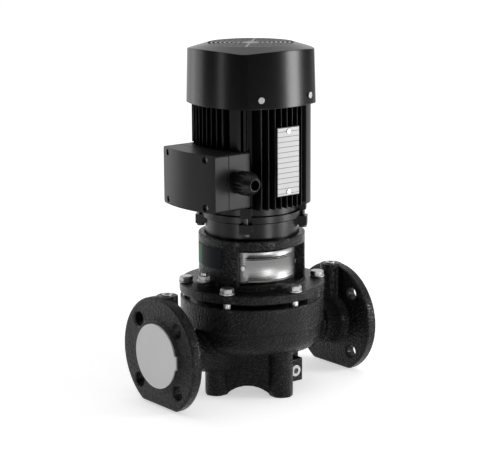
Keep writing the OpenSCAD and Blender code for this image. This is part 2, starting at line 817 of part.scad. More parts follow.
// One half of the clamped coupling, on the -Y side
module coupling_half() {
    difference() {
        translate([0, 0, coupling_bottom]) cylinder(r = coupling_r, h = coupling_h);
        translate([-coupling_r - 1, -coupling_split / 2, coupling_bottom - 1])
            cube([2 * coupling_r + 2, coupling_r + 2, coupling_h + 2]);
        translate([0, 0, coupling_bottom - 1]) cylinder(r = pump_shaft_r + run_gap, h = coupling_h / 2 + 1);
        translate([0, 0, coupling_mid - eps]) cylinder(r = motor_shaft_r + run_gap, h = coupling_h);
        at_coupling_screws() {
            cylinder(r = coupling_screw_r + run_gap, h = 60, center = true);
            translate([0, 0, coupling_seat_y]) cylinder(r = coupling_screw_r + 2.4, h = coupling_r);
        }
    }
}

// Children stand along the four coupling screws, with +Z of a child towards -Y
module at_coupling_screws() {
    for (sx = [-1, 1]) for (sz = [-1, 1])
        translate([sx * coupling_screw_x, 0, coupling_mid + sz * coupling_screw_dz]) rotate([90, 0, 0])
            children();
}

module coupling_front() {
    color([0.3, 0.3, 0.32]) coupling_half();
}

module coupling_rear() {
    color([0.3, 0.3, 0.32]) mirror([0, 1, 0]) coupling_half();
}

module coupling_screws() {
    color("silver") at_coupling_screws() {
        translate([0, 0, 1.5 - coupling_seat_y]) cylinder(r = coupling_screw_r, h = 2 * coupling_seat_y - 1);
        translate([0, 0, coupling_seat_y]) cylinder(r = coupling_screw_r + 1.8, h = 4);
    }
}

module motor_shaft() {
    color("silver") {
        translate([0, 0, coupling_mid + shaft_gap / 2])
            cylinder(r = motor_shaft_r, h = de_bearing_z - coupling_mid);
        translate([0, 0, de_bearing_z - 2])
            cylinder(r = bearing_bore_r - run_gap, h = nde_bearing_z + bearing_h - de_bearing_z + 4);
        translate([0, 0, de_bearing_z + bearing_h])
            cylinder(r = rotor_shaft_r, h = nde_bearing_z - de_bearing_z - bearing_h);
        translate([0, 0, nde_bearing_z + bearing_h])
            cylinder(r = fan_bore_r, h = fan_bottom + fan_h - nde_bearing_z - bearing_h + 4);
    }
}

// A ball bearing in three pieces: outer ring, inner ring, and the balls in their cage
module bearing_ring(r_in, r_out) {
    difference() {
        cylinder(r = r_out, h = bearing_h);
        translate([0, 0, -1]) cylinder(r = r_in, h = bearing_h + 2);
        translate([0, 0, bearing_h / 2]) rotate_extrude() translate([ball_ring_r, 0])
            circle(r = ball_r + run_gap);
    }
}

module bearing_outer() {
    color("silver") bearing_ring(ball_ring_r + 2, bearing_r - run_gap);
}

module bearing_inner() {
    color("silver") bearing_ring(bearing_bore_r, ball_ring_r - 2);
}

module bearing_balls() {
    color("gainsboro") translate([0, 0, bearing_h / 2]) {
        for (i = [0 : balls_n - 1]) rotate([0, 0, i * ball_step]) translate([ball_ring_r, 0, 0])
            sphere(r = ball_r, $fn = 48);
        // Crown cage: a ring above the balls with a finger between each two
        translate([0, 0, ball_r + 0.1]) difference() {
            cylinder(r = ball_ring_r + cage_t / 2 + 0.3, h = 1.2);
            translate([0, 0, -1]) cylinder(r = ball_ring_r - cage_t / 2 - 0.3, h = 4);
        }
        for (i = [0 : balls_n - 1])
            ring_part(ball_ring_r - cage_t / 2, ball_ring_r + cage_t / 2, -2, ball_r + 2.6,
                i * ball_step + ball_half, ball_step - 2 * ball_half);
    }
}

module rotor_core() {
    color([0.35, 0.35, 0.37]) translate([0, 0, stator_bottom]) difference() {
        cylinder(r = rotor_r, h = stator_len);
        translate([0, 0, -1]) cylinder(r = rotor_shaft_r + run_gap, h = stator_len + 2);
    }
}

module rotor_end_rings() {
    color("gainsboro") for (z = [stator_bottom - end_ring_h, stator_bottom + stator_len])
        translate([0, 0, z]) difference() {
        cylinder(r = rotor_r - 2, h = end_ring_h);
        translate([0, 0, -1]) cylinder(r = rotor_r - 12, h = end_ring_h + 2);
    }
}

// Slots of the stator stack, grown by a gap
module stator_slots(w, r_out, z, h) {
    for (i = [0 : slots_n - 1]) rotate([0, 0, (i + 0.5) * 360 / slots_n])
        translate([slot_r, -w / 2, z]) cube([r_out - slot_r, w, h]);
}

module stator_core() {
    color([0.45, 0.45, 0.48]) difference() {
        translate([0, 0, stator_bottom]) cylinder(r = frame_bore_r - run_gap, h = stator_len);
        translate([0, 0, stator_bottom - 1]) cylinder(r = stator_bore_r, h = stator_len + 2);
        stator_slots(slot_w, slot_out_r, stator_bottom - 1, stator_len + 2);
    }
}

module stator_windings() {
    color("peru") {
        stator_slots(slot_w - 0.4, slot_out_r - 0.2, stator_bottom - 3, stator_len + 6);
        for (z = [stator_bottom - coil_end_h - 1, stator_bottom + stator_len + 1])
            translate([0, 0, z]) difference() {
            cylinder(r = slot_out_r + 3, h = coil_end_h);
            translate([0, 0, -1]) cylinder(r = slot_r + 0.2, h = coil_end_h + 2);
        }
    }
}

// Radius of a side that bows from the middle of its face to the corners on both sides
function bow_radius(face_r, corner_r) =
    let (c = (corner_r + 1.5) * cos(45), s = face_r - c) (c * c + s * s) / (2 * s);

// A square with bowed sides and cut corners, drawn in by draft at its top
module bowed_square(face_r, corner_r, h, draft) {
    bow = bow_radius(face_r, corner_r);
    intersection() {
        cylinder(r1 = corner_r, r2 = corner_r - draft, h = h);
        for_sides() translate([bow - face_r, 0, 0]) cylinder(r1 = bow, r2 = bow - draft, h = h, $fn = 360);
    }
}

// The common part of the children on all four sides
module for_sides() {
    intersection() {
        children();
        rotate([0, 0, 90]) children();
        rotate([0, 0, 180]) children();
        rotate([0, 0, 270]) children();
    }
}

module drive_end_shield() {
    color([0.06, 0.06, 0.065]) difference() {
        union() {
            translate([0, 0, shield_bottom]) cylinder(r = shield_r, h = shield_rim_z - shield_bottom);
            translate([0, 0, shield_rim_z]) cylinder(r1 = shield_r, r2 = shield_rim_r, h = 2);
            translate([0, 0, shield_rim_z + 2 - eps])
                cylinder(r = shield_rim_r, h = frame_bottom - shield_rim_z - 2 + eps);
            translate([0, 0, shield_bottom - register_h])
                cylinder(r = register_r - run_gap, h = register_h + 1);
            for (a = [45 : 90 : 315]) rotate([0, 0, a]) translate([shield_r - 8, -lug_w / 2, lug_bottom])
                cube([lug_out - shield_r + 8, lug_w, lug_h]);
        }
        difference() {
            translate([0, 0, shield_bottom + 11]) cylinder(r = frame_bore_r - 4, h = frame_bottom);
            cylinder(r = bearing_r + 6, h = de_bearing_z + bearing_h);
        }
        translate([0, 0, de_bearing_z]) cylinder(r = bearing_r, h = frame_bottom);
        cylinder(r = motor_shaft_r + 1.5, h = frame_bottom);
        at_motor_screws() translate([0, 0, shield_bottom - 1]) cylinder(r = motor_screw_r + run_gap, h = 10);
        at_tie_bolts() cylinder(r = tie_r + run_gap, h = frame_bottom);
    }
}

// Children stand at the four tie bolts in the corners
module at_tie_bolts() {
    for (a = [45 : 90 : 315]) rotate([0, 0, a]) translate([tie_ring_r, 0, 0]) children();
}

module tie_bolts() {
    color([0.2, 0.2, 0.2]) at_tie_bolts() {
        translate([0, 0, lug_bottom - 4]) hexagon(10, 4);
        translate([0, 0, lug_bottom - 1]) cylinder(r = tie_r, h = frame_bottom - lug_bottom + tie_depth);
    }
}

module motor_screws() {
    color("silver") at_motor_screws() {
        translate([0, 0, ring_bottom - 5]) cylinder(r = motor_screw_r + 2.2, h = 5);
        translate([0, 0, ring_bottom - 1]) cylinder(r = motor_screw_r, h = stool_ring_h + 5);
    }
}

// One fin of the face on the +X side, thinner at its tip, at a distance y from the middle of the face
module fin(y) {
    translate([0, y, fins_bottom]) linear_extrude(fins_len)
        polygon([[frame_bore_r / 2, -fin_root_t / 2], [fin_corner_r, -fin_tip_t / 2],
            [fin_corner_r, fin_tip_t / 2], [frame_bore_r / 2, fin_root_t / 2]]);
}

// A bar of width w that stands on the round shell and faces outwards at an angle
module corner_bar(angle, z, h, w, r_out) {
    rotate([0, 0, angle]) translate([frame_shell_r - 6, -w / 2, z]) cube([r_out - frame_shell_r + 6, w, h]);
}

// The finned motor frame: a round shell, fins square to each face, corner strips and a pad for the name plate
module motor_frame() {
    color([0.06, 0.06, 0.065]) difference() {
        union() {
            translate([0, 0, frame_bottom]) cylinder(r = frame_shell_r, h = frame_len);
            difference() {
                intersection() {
                    translate([0, 0, fins_bottom]) bowed_square(fin_face_r, fin_corner_r, fins_len, 0);
                    union() {
                        for (side = [0 : 90 : 270]) rotate([0, 0, side])
                            for (i = [fins_from : fins_to]) fin(i * fin_pitch);
                        for (a = [45 : 90 : 315]) {
                            corner_bar(a, fins_bottom, fins_len, corner_rib_t, fin_corner_r + 5);
                            corner_bar(a - strip_from_corner, fins_bottom, fins_len, strip_w, fin_corner_r + 5);
                        }
                    }
                }
                translate([-box_seam_x - 20, -box_cut_w / 2, box_bottom - fit_gap])
                    cube([box_seam_x + 20 - box_back_x + fit_gap, box_cut_w, box_h + 2 * fit_gap]);
            }
            for (a = [45 : 90 : 315]) corner_bar(a, frame_bottom, tie_depth + 2, column_w, tie_ring_r + 5);
            translate([name_x - name_w / 2 - 1, -fin_face_r, name_z - name_h / 2 - 1])
                cube([name_w + 2, fin_face_r - frame_shell_r + 8, name_h + 2]);
        }
        translate([0, 0, frame_bottom - 1]) cylinder(r = frame_bore_r, h = frame_len + 2);
        at_tie_bolts() translate([0, 0, frame_bottom - 1]) cylinder(r = tie_r + run_gap, h = tie_depth + 1);
        for (dz = [-1, 1]) translate([name_x, -fin_face_r - 1, name_z + dz * (name_h / 2 - rivet_inset)])
            rotate([-90, 0, 0])
            cylinder(r = rivet_r + run_gap, h = 7);
        translate([-box_seam_x, 0, box_mid_z]) rotate([0, 90, 0]) cylinder(r = 9, h = 40);
    }
}

module non_drive_shield() {
    color([0.06, 0.06, 0.065]) difference() {
        union() {
            translate([0, 0, frame_top]) difference() {
                bowed_square(cover_face_r - cover_t - 0.9, cover_corner_r - cover_t - 0.9, nde_rim_h, 0);
                translate([0, 0, 4]) cylinder(r = fan_r + 5, h = nde_rim_h);
            }
            translate([0, 0, nde_bearing_z - 3])
                cylinder(r = bearing_r + 5, h = frame_top - nde_bearing_z + 14);
            translate([0, 0, frame_top - 3]) cylinder(r = frame_bore_r - run_gap, h = 4);
        }
        translate([0, 0, nde_bearing_z - 4]) cylinder(r = bearing_r, h = bearing_h + 4);
        cylinder(r = bearing_bore_r + 1, h = cover_top);
        at_cover_screws() translate([0, 0, -20]) cylinder(r = cover_screw_r + run_gap, h = 30);
    }
}

// Children stand at the four cover screws, with z = 0 on the cover and +Z pointing out of it
module at_cover_screws() {
    for (side = [0, 180]) for (sx = [-1, 1]) rotate([0, 0, side]) translate([0, cover_bow - cover_face_r, 0])
        rotate([0, 0, sx * asin(cover_screw_x / cover_bow)]) translate([0, -cover_bow, cover_screw_z])
            rotate([90, 0, 0]) children();
}

module fan() {
    color([0.1, 0.1, 0.1]) translate([0, 0, fan_bottom]) difference() {
        union() {
            cylinder(r = fan_hub_r, h = fan_h);
            cylinder(r = fan_r, h = fan_plate_t);
            for (i = [0 : fan_blades_n - 1]) rotate([0, 0, i * 360 / fan_blades_n])
                translate([fan_hub_r - 2, -fan_blade_t / 2, 1])
                    cube([fan_r - fan_hub_r + 1, fan_blade_t, fan_h - 5]);
        }
        translate([0, 0, -1]) cylinder(r = fan_bore_r + run_gap, h = fan_h + 2);
    }
}

module fan_clip() {
    color("silver") translate([0, 0, fan_bottom + fan_h]) difference() {
        cylinder(r = fan_bore_r + 3, h = 1.5);
        translate([0, 0, -1]) cylinder(r = fan_bore_r + run_gap, h = 4);
    }
}

// The solid form of the fan cover, inset by the wall thickness for its inside
module cover_form(inset) {
    full_h = cover_h + cover_cone_h;
    intersection() {
        bowed_square(cover_face_r - inset, cover_corner_r - inset, full_h, cover_draft * full_h / cover_h);
        union() {
            cylinder(r = cover_corner_r + 5, h = cover_h - inset);
            translate([0, 0, cover_h - inset - eps])
                cylinder(r1 = cover_corner_r - cover_draft, r2 = grille_r, h = cover_cone_h + eps);
        }
    }
}

module fan_cover() {
    color([0.05, 0.05, 0.055]) difference() {
        translate([0, 0, cover_bottom]) cover_form(0);
        translate([0, 0, cover_bottom - eps]) cover_form(cover_t);
        for (k = [0 : grille_rings - 1]) for (q = [0 : 3]) {
            r = grille_hub_r + k * grille_pitch;
            g = asin(grille_spoke / 2 / r);
            ring_part(r, r + grille_slot, cover_top - cover_t - 3, cover_t + 6, q * 90 + 45 + g, 90 - 2 * g);
        }
        at_cover_screws() translate([0, 0, -4]) cylinder(r = cover_screw_r + 0.3, h = 8);
    }
}

module cover_screws() {
    color("silver") at_cover_screws() {
        translate([0, 0, -9]) cylinder(r = cover_screw_r, h = 10);
        translate([0, 0, -0.1]) cylinder(r = cover_head_r, h = 2.2);
    }
}

// A block along X with rounded edges, centred in height on the box
module rounded_block(x1, x2, w, h, r) {
    translate([0, 0, box_mid_z]) {
        translate([x1, -w / 2 + r, -h / 2]) cube([x2 - x1, w - 2 * r, h]);
        translate([x1, -w / 2, -h / 2 + r]) cube([x2 - x1, w, h - 2 * r]);
        for (sy = [-1, 1]) for (sz = [-1, 1]) translate([0, sy * (w / 2 - r), sz * (h / 2 - r)])
            bar_x(x1, x2 - x1, r);
    }
}

// Children stand at the four lid screws, with the box wall facing -X
module at_lid_screws() {
    for (sy = [-1, 1]) for (sz = [-1, 1]) translate([0, sy * lid_screw_y, box_mid_z + sz * lid_screw_dz])
        children();
}

module terminal_box() {
    color([0.07, 0.07, 0.07]) difference() {
        union() {
            difference() {
                rounded_block(-box_seam_x, -box_back_x, box_w, box_h, 4);
                rounded_block(-box_seam_x - 1, -pocket_x, box_w - 2 * box_wall, box_h - 2 * box_wall, 3);
                translate([-box_seam_x - 1, -box_w / 2 + box_wall, box_mid_z - pocket_h / 2])
                    cube([box_seam_x + 1 - box_back_x - 6, 16, pocket_h]);
            }
            at_lid_screws() bar_x(-box_seam_x, box_seam_x - pocket_x + 1, 5);
        }
        cylinder(r = frame_shell_r + fit_gap, h = cover_top);
        at_lid_screws() bar_x(-box_seam_x - 1, 13, lid_screw_r + run_gap);
        translate([-gland_x, -box_w / 2 - 1, box_mid_z]) rotate([-90, 0, 0])
            cylinder(r = gland_r + run_gap, h = box_wall + 2);
        translate([-box_seam_x, 0, box_mid_z]) rotate([0, 90, 0]) cylinder(r = 9, h = 40);
    }
}

module box_gasket() {
    color([0.12, 0.12, 0.12]) difference() {
        rounded_block(-box_seam_x - gasket_t, -box_seam_x, box_w - 1, box_h - 1, 3.5);
        rounded_block(-box_seam_x - 3, -box_seam_x + 1, box_w - 2 * box_wall - 1, box_h - 2 * box_wall - 1, 3);
        at_lid_screws() bar_x(-box_seam_x - 3, 5, lid_screw_r + 0.3);
    }
}

module terminal_lid() {
    lid_back = -box_seam_x - gasket_t;
    color([0.07, 0.07, 0.07]) difference() {
        union() {
            difference() {
                intersection() {
                    rounded_block(-lid_x - 2, lid_back, box_w, box_h, 4);
                    translate([lid_bow_r - lid_x, 0, 0]) cylinder(r = lid_bow_r, h = cover_top, $fn = 360);
                }
                intersection() {
                    rounded_block(-lid_x, lid_back + 1, box_w - 2 * box_wall, box_h - 2 * box_wall, 3);
                    translate([lid_bow_r - lid_x, 0, 0])
                        cylinder(r = lid_bow_r - box_wall, h = cover_top, $fn = 360);
                }
            }
            at_lid_screws() bar_x(-lid_screw_seat - 3, lid_screw_seat + 3 + lid_back, lid_boss_r);
        }
        at_lid_screws() bar_x(-lid_x - 5, lid_x + 5 - lid_screw_seat, 4.6);
        at_lid_screws() bar_x(-lid_x, lid_x, lid_screw_r + 0.3);
    }
}

module lid_screws() {
    color("silver") at_lid_screws() {
        bar_x(-lid_screw_seat - 3.5, 3.5, 4);
        bar_x(-lid_screw_seat - 1, lid_screw_seat + 1 - pocket_x - 3, lid_screw_r);
    }
}

module terminal_block() {
    color([0.35, 0.2, 0.12]) difference() {
        translate([-pocket_x - block_t, -block_w / 2, box_mid_z - block_h / 2])
            cube([block_t, block_w, block_h]);
        at_studs() bar_x(-pocket_x - block_t - 1, 9, stud_r + run_gap);
    }
}

// Children stand at the six terminal studs
module at_studs() {
    for (y = [-1, 0, 1]) for (z = [-1, 1]) translate([0, y * block_w / 3, box_mid_z + z * block_h / 4])
        children();
}

module terminal_studs() {
    color("goldenrod") at_studs() {
        bar_x(-pocket_x - block_t - 7, 14, stud_r);
        translate([-pocket_x - block_t, 0, 0]) rotate([0, -90, 0]) hexagon(7, 3);
    }
}

// A round piece along Y that starts at y and points to -Y
module bar_gland(y, len, r) {
    translate([-gland_x, y, box_mid_z]) rotate([90, 0, 0]) cylinder(r = r, h = len);
}

module gland_body() {
    color([0.06, 0.06, 0.06]) difference() {
        union() {
            bar_gland(-box_w / 2 + box_wall, box_wall + 1, gland_r);
            translate([-gland_x, -box_w / 2, box_mid_z]) rotate([90, 0, 0]) hexagon(29, gland_hex_h);
            bar_gland(-box_w / 2 - gland_hex_h + 1, gland_neck_len, gland_neck_r);
        }
        bar_gland(-box_w / 2 + box_wall + 1, 40, gland_bore_r + gland_wall);
    }
}

module gland_seal() {
    color([0.1, 0.1, 0.1]) difference() {
        bar_gland(gland_nut_y - 0.8, gland_neck_len - 1.5, gland_bore_r + gland_wall - run_gap);
        bar_gland(gland_nut_y, gland_neck_len + 1, gland_bore_r);
    }
}

// The nut of the gland: a ribbed skirt under a dome that is drawn in to the bore in three steps
module gland_nut() {
    color([0.06, 0.06, 0.06]) difference() {
        union() {
            bar_gland(gland_nut_y, gland_nut_h, gland_nut_r);
            for (i = [0 : 2])
                translate([-gland_x, gland_nut_y - gland_nut_h - gland_dome_h * i / 3 + eps, box_mid_z])
                    rotate([90, 0, 0])
                cylinder(r1 = gland_dome_r[i], r2 = gland_dome_r[i + 1], h = gland_dome_h / 3 + eps);
        }
        bar_gland(gland_nut_y + 1, gland_nut_h + 0.5, gland_neck_r + run_gap);
        bar_gland(gland_nut_y + 1, 40, gland_bore_r + 0.5);
        for (i = [0 : gland_ribs_n - 1]) translate([-gland_x, gland_nut_y - 2, box_mid_z])
            rotate([90, i * 360 / gland_ribs_n, 0])
            translate([gland_nut_r + 1.2, 0, 0]) cylinder(r = 2.2, h = gland_nut_h - 2);
    }
}

module name_plate() {
    color("gainsboro") difference() {
        translate([name_x - name_w / 2, -fin_face_r - name_t, name_z - name_h / 2])
            cube([name_w, name_t, name_h]);
        at_rivets() cylinder(r = rivet_r + run_gap, h = 9);
    }
}

// Children stand at the two rivets, with +Z pointing into the frame
module at_rivets() {
    for (dz = [-1, 1]) translate([name_x, -fin_face_r - 2, name_z + dz * (name_h / 2 - rivet_inset)])
        rotate([-90, 0, 0]) children();
}

module name_rivets() {
    color("silver") at_rivets() {
        translate([0, 0, 0.6]) cylinder(r = rivet_r, h = 6);
        translate([0, 0, 0]) cylinder(r = rivet_r + 1, h = 2 - name_t);
    }
}

pump_casing();
inlet_flange();
outlet_flange();
wear_ring();
casing_o_ring();
drain_plug();
gauge_plugs();
inlet_cover();
outlet_cover();
motor_stool();
head_bolts();
front_guard();
rear_guard();
guard_screws();
vent_plug();
label_band();
label_panel();
impeller();
impeller_nut();
pump_shaft();
seal_seat();
seal_face();
seal_sleeve();
seal_spring();
coupling_front();
coupling_rear();
coupling_screws();
motor_shaft();
translate([0, 0, de_bearing_z]) bearing_outer();  // de_outer_ring
translate([0, 0, de_bearing_z]) bearing_inner();  // de_inner_ring
translate([0, 0, de_bearing_z]) bearing_balls();  // de_balls
translate([0, 0, nde_bearing_z]) bearing_outer();  // nde_outer_ring
translate([0, 0, nde_bearing_z]) bearing_inner();  // nde_inner_ring
translate([0, 0, nde_bearing_z]) bearing_balls();  // nde_balls
rotor_core();
rotor_end_rings();
stator_core();
stator_windings();
drive_end_shield();
tie_bolts();
motor_screws();
motor_frame();
non_drive_shield();
fan();
fan_clip();
fan_cover();
cover_screws();
terminal_box();
box_gasket();
terminal_lid();
lid_screws();
terminal_block();
terminal_studs();
gland_body();
gland_seal();
gland_nut();
name_plate();
name_rivets();
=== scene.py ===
import math

import bmesh
import bpy
from mathutils import Euler, Matrix, Vector


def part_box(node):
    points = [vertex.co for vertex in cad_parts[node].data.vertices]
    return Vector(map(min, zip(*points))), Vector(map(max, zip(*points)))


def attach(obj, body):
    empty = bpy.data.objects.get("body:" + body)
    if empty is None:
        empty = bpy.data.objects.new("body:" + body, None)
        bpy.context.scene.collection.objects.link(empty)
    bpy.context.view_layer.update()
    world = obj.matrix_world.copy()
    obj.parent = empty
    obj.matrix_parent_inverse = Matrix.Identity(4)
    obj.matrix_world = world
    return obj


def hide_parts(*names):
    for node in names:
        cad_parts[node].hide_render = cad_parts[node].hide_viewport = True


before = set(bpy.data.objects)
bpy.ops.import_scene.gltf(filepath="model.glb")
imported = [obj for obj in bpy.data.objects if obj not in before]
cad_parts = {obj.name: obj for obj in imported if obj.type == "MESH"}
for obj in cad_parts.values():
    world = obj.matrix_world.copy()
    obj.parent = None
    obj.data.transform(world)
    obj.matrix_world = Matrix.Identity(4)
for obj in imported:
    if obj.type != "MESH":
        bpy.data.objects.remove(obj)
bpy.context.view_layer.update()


# The view
# The picture was taken from in front of the pump's left corner, a little above its middle, with a long lens.
# The camera looks 12 degrees down and 39 degrees off the straight front view, towards the discharge side.
def show(name, data):
    """Puts a mesh, a light or a camera in the scene, as an object at the origin."""
    thing = bpy.data.objects.new(name, data)
    bpy.context.collection.objects.link(thing)
    return thing


view_place = (-1.436905, -1.787537, 0.728956)
view_tilt, view_roll, view_heading = 77.8880, 0.3048, -38.8016
camera = show("camera", bpy.data.cameras.new("camera"))
view_turn = Euler([math.radians(turn) for turn in (view_tilt, view_roll, view_heading)])
camera.matrix_world = Matrix.Translation(view_place) @ view_turn.to_matrix().to_4x4()
camera.data.lens = 118.48
camera.data.sensor_width = 36
camera.data.sensor_fit = "HORIZONTAL"
camera.data.clip_end = 50
bpy.context.scene.camera = camera
bpy.context.scene.view_settings.view_transform = "Standard"


# Floor, backdrop and lamps
# A sheet of pale paper lies under the pump and runs off into white. A black felt screen stands round the
# front, so that black paint stays black. Two broad lamps and a narrow one stand round the pump, two small
# ones lie low in front, and a soft one hangs overhead.
class Wire:
    """One output socket of a node tree. Arithmetic on it adds Math nodes to that tree."""

    def __init__(self, tree, socket=None):
        self.tree = tree
        self.socket = socket

    def make(self, kind, inputs=None, output=0, **settings):
        """Adds a node with its settings, then its inputs' values or links, and returns one of its outputs."""
        node = self.tree.nodes.new(kind)
        for name, value in settings.items():
            setattr(node, name, value)
        for name, value in (inputs or {}).items():
            if isinstance(value, Wire):
                self.tree.links.new(value.socket, node.inputs[name])
            else:
                node.inputs[name].default_value = value
        return Wire(self.tree, node.outputs[output] if node.outputs else None)

    def maths(self, operation, other=0.0):
        return self.make("ShaderNodeMath", {0: self, 1: other}, operation=operation)

    def maths_from(self, operation, other):
        """The same with the two values the other way round."""
        return self.make("ShaderNodeMath", {0: other, 1: self}, operation=operation)

    def __add__(self, other):
        return self.maths("ADD", other)

    __radd__ = __add__

    def __sub__(self, other):
        return self.maths("SUBTRACT", other)

    def __rsub__(self, other):
        return self.maths_from("SUBTRACT", other)

    def __mul__(self, other):
        return self.maths("MULTIPLY", other)

    __rmul__ = __mul__

    def __truediv__(self, other):
        return self.maths("DIVIDE", other)

    def __rtruediv__(self, other):
        return self.maths_from("DIVIDE", other)

    def steps(self, low, high):
        """0 below low and 1 above high, with a soft step between them."""
        return self.make("ShaderNodeMapRange", {0: self, 1: low, 2: high}, interpolation_type="SMOOTHSTEP")

    def noise(self, size, detail=2.0, stretch=(1, 1, 1)):
        """Noise about 0.5 whose blobs are size metres across, stretched along the axes."""
        place = self.make("ShaderNodeMapping", {0: self, "Scale": tuple(1 / (size * s) for s in stretch)})
        return self.make("ShaderNodeTexNoise", {"Vector": place, "Scale": 1.0, "Detail": detail})

    def blend(self, first, second):
        """A colour from first to second as this mask goes from 0 to 1. One number stands for a grey."""
        ends = []
        for end in (first, second):
            if isinstance(end, float):
                end = (end, end, end)
            ends.append(end if isinstance(end, Wire) else (*end, 1))
        return self.make("ShaderNodeMix", {0: self, 6: ends[0], 7: ends[1]}, output=2, data_type="RGBA")


def clear_tree(owner):
    """Empties the node tree of a material or a world, and returns a wire to build on."""
    owner.use_nodes = True
    owner.node_tree.nodes.clear()
    return Wire(owner.node_tree)


def seen_directly(wire):
    """1 for what the camera sees directly, in a gloss or through glass, and 0 for the light on the pump."""
    path = wire.make("ShaderNodeLightPath").socket.node.outputs
    camera_ray, glossy_ray, glass_ray = (
        Wire(wire.tree, path[name]) for name in ("Is Camera Ray", "Is Glossy Ray", "Is Transmission Ray"))
    return camera_ray.maths("MAXIMUM", glossy_ray).maths("MAXIMUM", glass_ray)


studio = bpy.data.worlds.new("studio")
bpy.context.scene.world = studio
sky = clear_tree(studio)
sky_light = sky.make("ShaderNodeBackground",
                     {"Color": (1, 1, 1, 1), "Strength": seen_directly(sky) * 0.25 + 0.75})
sky.make("ShaderNodeOutputWorld", {"Surface": sky_light})

paper = bpy.data.materials.new("paper")
sheet = clear_tree(paper)
sheet_face = sheet.make("ShaderNodeBsdfDiffuse", {"Color": (0.9, 0.9, 0.9, 1)})
sheet_glow = sheet.make("ShaderNodeEmission",
                        {"Color": (1, 1, 1, 1), "Strength": seen_directly(sheet) * 0.52})
sheet_light = sheet.make("ShaderNodeAddShader", {0: sheet_face, 1: sheet_glow})
sheet.make("ShaderNodeOutputMaterial", {"Surface": sheet_light})
floor_half = 6
floor_mesh = bpy.data.meshes.new("floor")
floor_mesh.from_pydata([(x * floor_half, y * floor_half, 0) for x, y in ((-1, -1), (1, -1), (1, 1), (-1, 1))],
                       [], [(0, 1, 2, 3)])
floor_mesh.materials.append(paper)
floor = show("floor", floor_mesh)

felt = bpy.data.materials.new("black_felt")
pile = clear_tree(felt)
felt_face = pile.make("ShaderNodeBsdfDiffuse", {"Color": (0.01, 0.01, 0.01, 1)})
pile.make("ShaderNodeOutputMaterial", {"Surface": felt_face})
screen_radius, screen_foot, screen_top = 3.4, 0.002, 3.6
screen_start, screen_arc, screen_folds = 105, 250, 24
screen_turns = [math.radians(screen_start + screen_arc * k / screen_folds) for k in range(screen_folds + 1)]
screen_mesh = bpy.data.meshes.new("dark_screen")
screen_mesh.from_pydata([(screen_radius * math.cos(a), screen_radius * math.sin(a), z)
                         for a in screen_turns for z in (screen_foot, screen_top)],
                        [], [(2 * k, 2 * k + 2, 2 * k + 3, 2 * k + 1) for k in range(screen_folds)])
screen_mesh.materials.append(felt)
screen = show("dark_screen", screen_mesh)
screen.visible_camera = False


lamp_aim = Vector((0, 0, 0.25))


def lamp(name, azimuth, elevation, distance, width, height, radiance):
    """A flat lamp on a circle round the pump that faces its middle. Azimuths count from +X towards +Y."""
    light = bpy.data.lights.new(name, "AREA")
    light.shape = "RECTANGLE"
    light.size = width
    light.size_y = height
    light.energy = radiance * width * height * math.pi
    stand = show(name, light)
    a, e = math.radians(azimuth), math.radians(elevation)
    out = Vector((math.cos(a) * math.cos(e), math.sin(a) * math.cos(e), math.sin(e)))
    stand.location = out * distance + lamp_aim
    stand.rotation_euler = out.to_track_quat("Z", "Y").to_euler()
    stand.visible_camera = False


lamp("lamp_left", azimuth=112, elevation=2, distance=1.6, width=0.75, height=0.8, radiance=1.8)
lamp("lamp_corner", azimuth=158, elevation=2, distance=1.8, width=0.16, height=0.8, radiance=5.0)
lamp("lamp_right", azimuth=-44, elevation=2, distance=1.6, width=0.52, height=0.8, radiance=17.0)
lamp("lamp_top", azimuth=-120, elevation=75, distance=1.5, width=0.6, height=0.6, radiance=0.6)
lamp("lamp_low", azimuth=-87, elevation=-12, distance=0.8, width=0.16, height=0.16, radiance=14.0)
lamp("lamp_low_left", azimuth=-160, elevation=-12, distance=0.8, width=0.12, height=0.16, radiance=8.0)


# Volute casing and motor stool
# Both are grey iron cast in sand, so their skin is grainy and their edges are rounded. They are sprayed black
# over the rough skin, and the flange faces and the spigots are turned before painting.
def begin_material(name):
    """An empty material, and its Object coordinates to build patterns on."""
    material = bpy.data.materials.new(name)
    return material, clear_tree(material).make("ShaderNodeTexCoord", output="Object")


def end_material(material, place, colour, roughness, height, depth, rounding=0.0, **fixed):
    """Gives the material its surface: height bumps it depth metres deep, and rounding softens its edges."""
    bump = {"Strength": 1.0, "Distance": depth, "Height": height}
    if rounding:
        bump["Normal"] = place.make("ShaderNodeBevel", {"Radius": rounding}, samples=4)
    inputs = {"Base Color": colour, "Roughness": roughness, "Normal": place.make("ShaderNodeBump", bump)}
    inputs.update({key.replace("_", " "): value for key, value in fixed.items()})
    surface = place.make("ShaderNodeBsdfPrincipled", inputs)
    place.make("ShaderNodeOutputMaterial", {"Surface": surface})
    return material


def cast_iron_paint():
    """Black paint over sand-cast iron: dull and bright grains, with a sparkle in the pits."""
    material, place = begin_material("cast_iron_paint")
    sand = place.noise(0.0034, 3)
    pits = place.noise(0.0016)
    wear = place.noise(0.03, 4).steps(0.35, 0.75)
    colour = (sand * 0.6 + wear * 0.4).blend(0.001, 0.006)
    skin = sand.steps(0.40, 0.62) * 0.6 + pits * 0.6
    return end_material(material, place, colour, sand * 0.2 + 0.10, skin, 0.0016, Specular_IOR_Level=0.15,
                        Coat_Weight=pits.steps(0.55, 0.62) * 0.4, Coat_Roughness=0.22)


